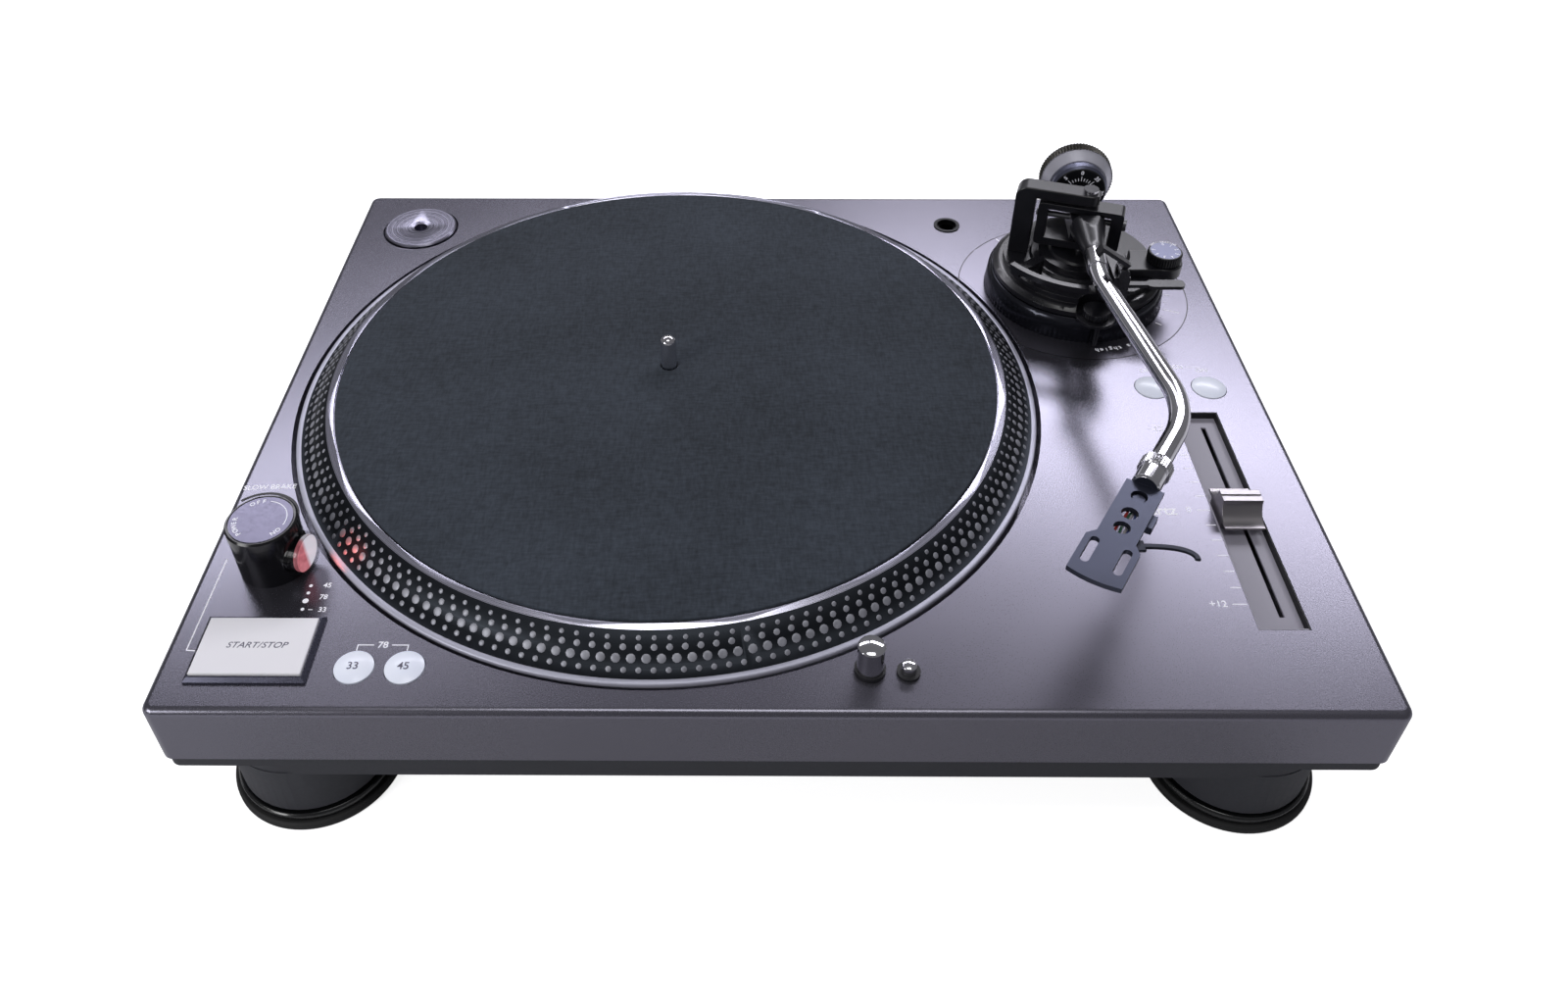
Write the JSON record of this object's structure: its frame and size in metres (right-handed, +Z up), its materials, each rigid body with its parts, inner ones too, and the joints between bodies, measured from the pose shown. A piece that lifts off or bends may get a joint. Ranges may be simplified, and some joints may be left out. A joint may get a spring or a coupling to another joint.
{
  "type": "dj turntable",
  "caption": "Direct-drive disc turntable with slipmat, S-shaped tonearm, pitch fader, strobe tower, speed and start buttons on a low cabinet with adjustable feet.",
  "frame": {"origin": "on the floor plane, under the centre of the rectangular cabinet", "axes": "+X to the right seen from the front, +Y to the back, +Z up"},
  "size_m": [0.448, 0.351, 0.1322],
  "materials": {
    "deck_paint": "satin metallic slate",
    "base_plastic": "matt dark grey",
    "zinc_screw": "zinc plated",
    "winding": "taped winding",
    "circuit": "circuit board",
    "black_plastic": "black",
    "nickel": "nickel",
    "platter_alloy": "anodised",
    "felt": "felt",
    "chrome": "polished",
    "brass_bearing": "turned",
    "magnet_iron": "sintered",
    "bezel_metal": "satin",
    "white_plastic": "satin",
    "lilac_button": "satin",
    "gloss_black": "gloss",
    "red_window": "tinted",
    "turned_aluminium": "turned",
    "socket_metal": "black",
    "trough_plastic": "matt",
    "fader_metal": "satin",
    "steel_part": "plain",
    "scale_paint": "satin",
    "knurled_black": "semi gloss",
    "arm_black": "semi gloss",
    "shell_slate": "satin",
    "weight_silver": "turned",
    "dial_black": "matt",
    "foot_gloss": "gloss",
    "foot_rubber": "matt"
  },
  "bodies": {
    "deck": {"top_cabinet": "deck_paint", "base_cover": "base_plastic", "case_screws": "zinc_screw", "power_transformer": "winding", "main_board": "circuit", "motor_board": "circuit", "power_inlet": "black_plastic", "signal_jacks": "nickel", "bearing_housing": "brass_bearing", "start_stop_bezel": "bezel_metal", "strobe_tower": "gloss_black", "strobe_window": "red_window", "headshell_socket": "socket_metal", "lamp_bush": "black_plastic", "fader_trough": "trough_plastic", "fader_unit": "steel_part", "scale_disc": "scale_paint", "arm_sleeve": "steel_part"},
    "turning_platter": {"platter": "platter_alloy", "rotor_magnet": "magnet_iron", "spindle": "chrome"},
    "mat": {"slipmat": "felt"},
    "start_stop": {"start_stop_button": "white_plastic"},
    "button_33": {"speed_button_33": "lilac_button"},
    "button_45": {"speed_button_45": "lilac_button"},
    "button_pitch_off": {"pitch_button_off": "lilac_button"},
    "button_pitch_on": {"pitch_button_on": "lilac_button"},
    "power_cap": {"power_knob": "gloss_black"},
    "adaptor": {"adaptor_45": "turned_aluminium"},
    "lamp": {"target_lamp": "chrome"},
    "lamp_release": {"release_button": "chrome"},
    "fader": {"fader_knob": "fader_metal"},
    "height_collar": {"height_ring": "knurled_black"},
    "arm_lift": {"arm_base": "arm_black", "gimbal_yoke": "arm_black", "pivot_screws": "chrome", "antiskate_housing": "arm_black", "arm_rest": "arm_black"},
    "lock_knob": {"height_lock": "arm_black"},
    "lever": {"cue_lever": "arm_black"},
    "rail": {"cue_rail": "arm_black"},
    "arm_swing": {"gimbal_ring": "arm_black", "tilt_pins": "steel_part"},
    "arm_tilt": {"arm_block": "arm_black", "arm_tube": "chrome"},
    "collar": {"locking_collar": "chrome"},
    "shell": {"headshell": "shell_slate", "finger_lift": "arm_black"},
    "weight": {"counterweight": "weight_silver"},
    "dial": {"weight_dial": "dial_black"},
    "skate_knob": {"antiskate_dial": "dial_black"},
    "clip": {"arm_clip": "arm_black"},
    "leg_front_left": {"foot_front_left": "foot_gloss", "pad_front_left": "foot_rubber"},
    "leg_front_right": {"foot_front_right": "foot_gloss", "pad_front_right": "foot_rubber"},
    "leg_rear_left": {"foot_rear_left": "foot_gloss", "pad_rear_left": "foot_rubber"},
    "leg_rear_right": {"foot_rear_right": "foot_gloss", "pad_rear_right": "foot_rubber"}
  },
  "joints": [
    {"name": "platter_spin", "type": "hinge", "parent": "deck", "child": "turning_platter", "pos_m": [-0.0465, 0.0055, 0.072], "axis": [0, 0, 1], "continuous": true},
    {"name": "slipmat_spin", "type": "hinge", "parent": "turning_platter", "child": "mat", "pos_m": [-0.0465, 0.0055, 0.084], "axis": [0, 0, 1], "continuous": true},
    {"name": "start_stop_press", "type": "slide", "parent": "deck", "child": "start_stop", "axis": [0, 0, 1], "range_m": [-0.001, 0], "stiffness_N_per_m": 400, "springref_m": 0.002},
    {"name": "speed_33_press", "type": "slide", "parent": "deck", "child": "button_33", "axis": [0, 0, 1], "range_m": [-0.001, 0], "stiffness_N_per_m": 400, "springref_m": 0.002},
    {"name": "speed_45_press", "type": "slide", "parent": "deck", "child": "button_45", "axis": [0, 0, 1], "range_m": [-0.001, 0], "stiffness_N_per_m": 400, "springref_m": 0.002},
    {"name": "pitch_off_press", "type": "slide", "parent": "deck", "child": "button_pitch_off", "axis": [0, 0, 1], "range_m": [-0.001, 0], "stiffness_N_per_m": 400, "springref_m": 0.002},
    {"name": "pitch_on_press", "type": "slide", "parent": "deck", "child": "button_pitch_on", "axis": [0, 0, 1], "range_m": [-0.001, 0], "stiffness_N_per_m": 400, "springref_m": 0.002},
    {"name": "release_press", "type": "slide", "parent": "deck", "child": "lamp_release", "axis": [0, 0, 1], "range_m": [-0.002, 0], "stiffness_N_per_m": 400, "springref_m": 0.002},
    {"name": "lamp_pop_up", "type": "slide", "parent": "deck", "child": "lamp", "axis": [0, 0, 1], "range_m": [-0.013, 0]},
    {"name": "power_turn", "type": "hinge", "parent": "deck", "child": "power_cap", "pos_m": [-0.196, -0.1025, 0.092], "axis": [0, 0, 1], "range_deg": [-45, 0]},
    {"name": "adaptor_lift", "type": "slide", "parent": "deck", "child": "adaptor", "axis": [0, 0, 1], "range_m": [0, 0.03]},
    {"name": "fader_slide", "type": "slide", "parent": "deck", "child": "fader", "axis": [0, 1, 0], "range_m": [-0.05, 0.05]},
    {"name": "height_turn", "type": "hinge", "parent": "deck", "child": "height_collar", "pos_m": [0.1533, 0.0833, 0.078], "axis": [0, 0, 1], "range_deg": [0, 180]},
    {"name": "height_lift", "type": "slide", "parent": "deck", "child": "arm_lift", "axis": [0, 0, 1], "range_m": [0, 0.006]},
    {"name": "height_lock_turn", "type": "hinge", "parent": "arm_lift", "child": "lock_knob", "pos_m": [0.1546, 0.0425, 0.088], "axis": [0, 0, 1], "range_deg": [-60, 0]},
    {"name": "cue_lever_lift", "type": "hinge", "parent": "arm_lift", "child": "lever", "pos_m": [0.167, 0.0565, 0.0965], "axis": [0, -1, 0], "range_deg": [0, 34]},
    {"name": "cue_rail_lift", "type": "slide", "parent": "arm_lift", "child": "rail", "axis": [0, 0, 1], "range_m": [0, 0.0034]},
    {"name": "arm_swing_turn", "type": "hinge", "parent": "arm_lift", "child": "arm_swing", "pos_m": [0.1533, 0.0833, 0.114], "axis": [0, 0, 1], "range_deg": [-46, 0]},
    {"name": "arm_tilt_turn", "type": "hinge", "parent": "arm_swing", "child": "arm_tilt", "pos_m": [0.1533, 0.0833, 0.114], "axis": [-0.9542, 0.299, 0], "range_deg": [0, 5]},
    {"name": "collar_turn", "type": "hinge", "parent": "arm_tilt", "child": "collar", "pos_m": [0.1372, -0.102, 0.114], "axis": [-0.5388, -0.8425, 0], "range_deg": [-45, 0]},
    {"name": "headshell_pull", "type": "slide", "parent": "arm_tilt", "child": "shell", "axis": [-0.5388, -0.8425, 0], "range_m": [0, 0.03]},
    {"name": "weight_slide", "type": "slide", "parent": "arm_tilt", "child": "weight", "axis": [0.075, 0.9972, 0], "range_m": [0, 0.008]},
    {"name": "dial_turn", "type": "hinge", "parent": "weight", "child": "dial", "pos_m": [0.1533, 0.0833, 0.114], "axis": [0.075, 0.9972, 0], "continuous": true},
    {"name": "antiskate_turn", "type": "hinge", "parent": "arm_lift", "child": "skate_knob", "pos_m": [0.1924, 0.0737, 0.099], "axis": [0, 0, 1], "range_deg": [-270, 0]},
    {"name": "arm_clip_turn", "type": "hinge", "parent": "arm_lift", "child": "clip", "pos_m": [0.1605, 0.0367, 0.116], "axis": [0, 1, 0], "range_deg": [-34, 0]},
    {"name": "foot_adjust_front_left", "type": "slide", "parent": "deck", "child": "leg_front_left", "axis": [0, 0, -1], "range_m": [0, 0.005]},
    {"name": "foot_adjust_front_right", "type": "slide", "parent": "deck", "child": "leg_front_right", "axis": [0, 0, -1], "range_m": [0, 0.005]},
    {"name": "foot_adjust_rear_left", "type": "slide", "parent": "deck", "child": "leg_rear_left", "axis": [0, 0, -1], "range_m": [0, 0.005]},
    {"name": "foot_adjust_rear_right", "type": "slide", "parent": "deck", "child": "leg_rear_right", "axis": [0, 0, -1], "range_m": [0, 0.005]}
  ],
  "couplings": [
    {"joint": "height_lift", "follows": "height_turn", "m_per_rad": 0.0019099},
    {"joint": "cue_rail_lift", "follows": "cue_lever_lift", "m_per_rad": 0.0057296}
  ]
}
